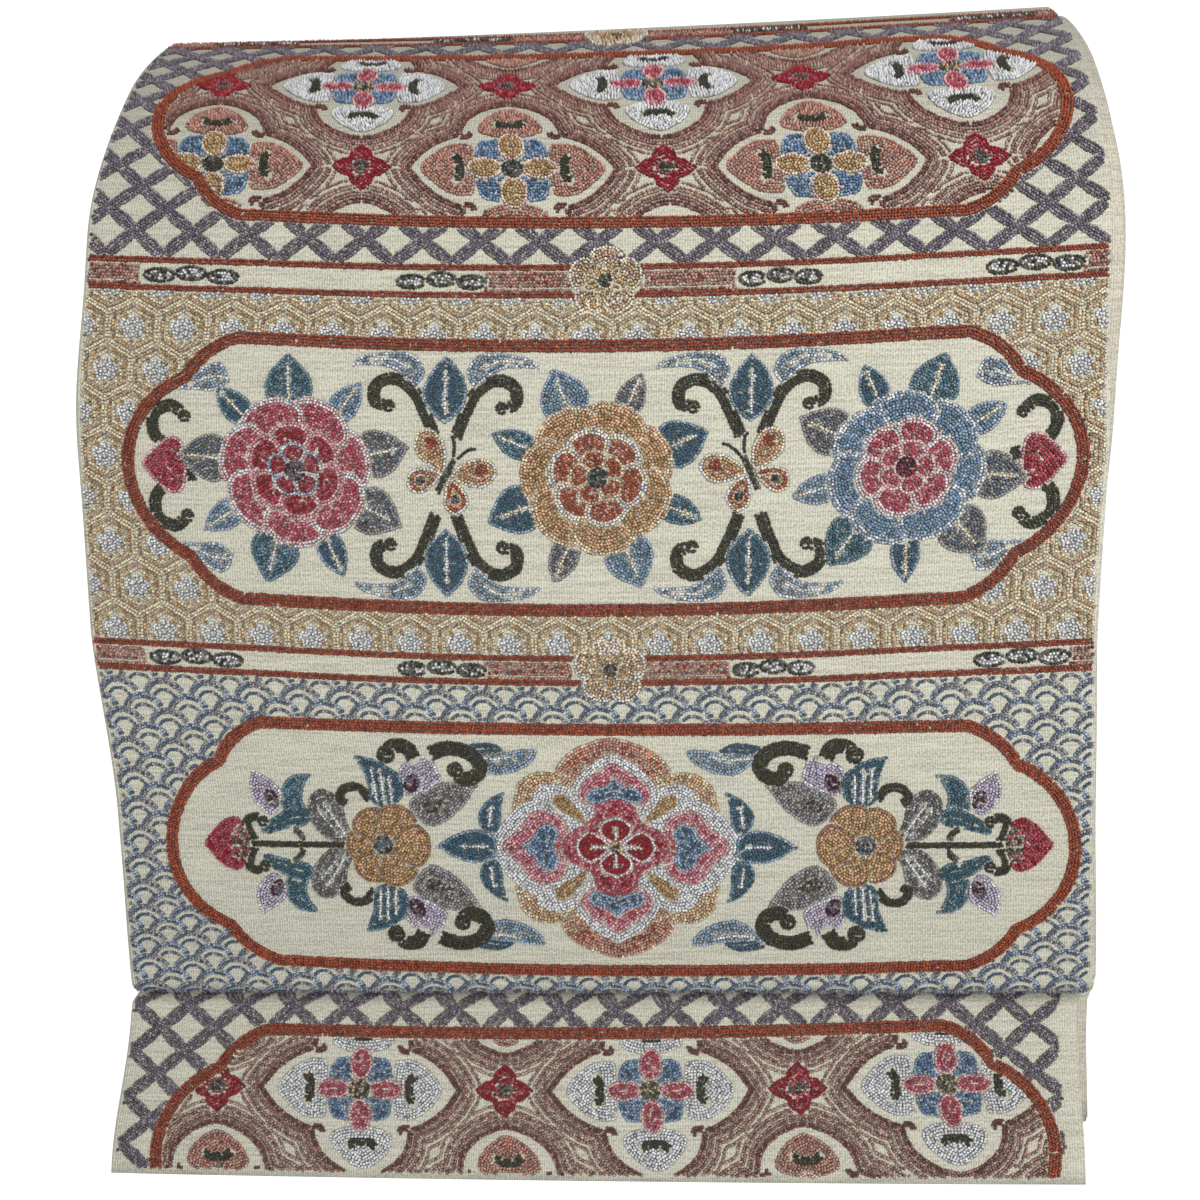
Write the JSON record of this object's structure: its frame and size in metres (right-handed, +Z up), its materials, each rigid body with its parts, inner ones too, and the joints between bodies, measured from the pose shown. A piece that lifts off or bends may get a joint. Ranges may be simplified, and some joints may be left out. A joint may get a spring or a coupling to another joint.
{
  "type": "obi sash",
  "caption": "Embroidered Japanese obi sash folded and filled out as a drum bow, hollow inside, with its end flap hanging below the lower fold.",
  "frame": {"origin": "middle of the underside of the folded layers at the top of the drum, where the bar or pillow that fills out the bow bears", "axes": "+X across the sash to the viewer's right, -Y out of the patterned face, +Z up"},
  "size_m": [0.3237, 0.1541, 0.3803],
  "materials": {
    "ivory_cloth": "matte slubbed silk pongee",
    "lining_cloth": "plain matte silk lining",
    "rust_thread": "knotted embroidery",
    "white_thread": "knotted embroidery",
    "salmon_thread": "knotted embroidery",
    "peach_thread": "knotted embroidery",
    "rose_thread": "knotted embroidery"
  },
  "bodies": {
    "root": {"band_flower_lower": "peach_thread", "band_flower_upper": "peach_thread", "drum": "ivory_cloth", "drum_lining": "lining_cloth", "folded_layers": "lining_cloth", "garden_roundel_left": "rose_thread", "garden_roundel_middle": "rose_thread", "garden_roundel_right": "rose_thread", "inner_pass": "ivory_cloth", "inner_pass_lining": "lining_cloth", "karahana": "rose_thread", "rim_garden": "rust_thread", "rim_lattice": "rust_thread", "rim_tare": "rust_thread", "rim_waves": "rust_thread", "rosette_left": "peach_thread", "rosette_right": "peach_thread", "salmon_flower_1": "salmon_thread", "salmon_flower_2": "salmon_thread", "salmon_flower_3": "salmon_thread", "tare": "ivory_cloth", "tare_flower_1": "white_thread", "tare_flower_2": "white_thread", "tare_flower_3": "white_thread", "tare_lining": "lining_cloth", "white_flower_1": "white_thread", "white_flower_2": "white_thread", "white_flower_3": "white_thread"}
  },
  "joints": []
}
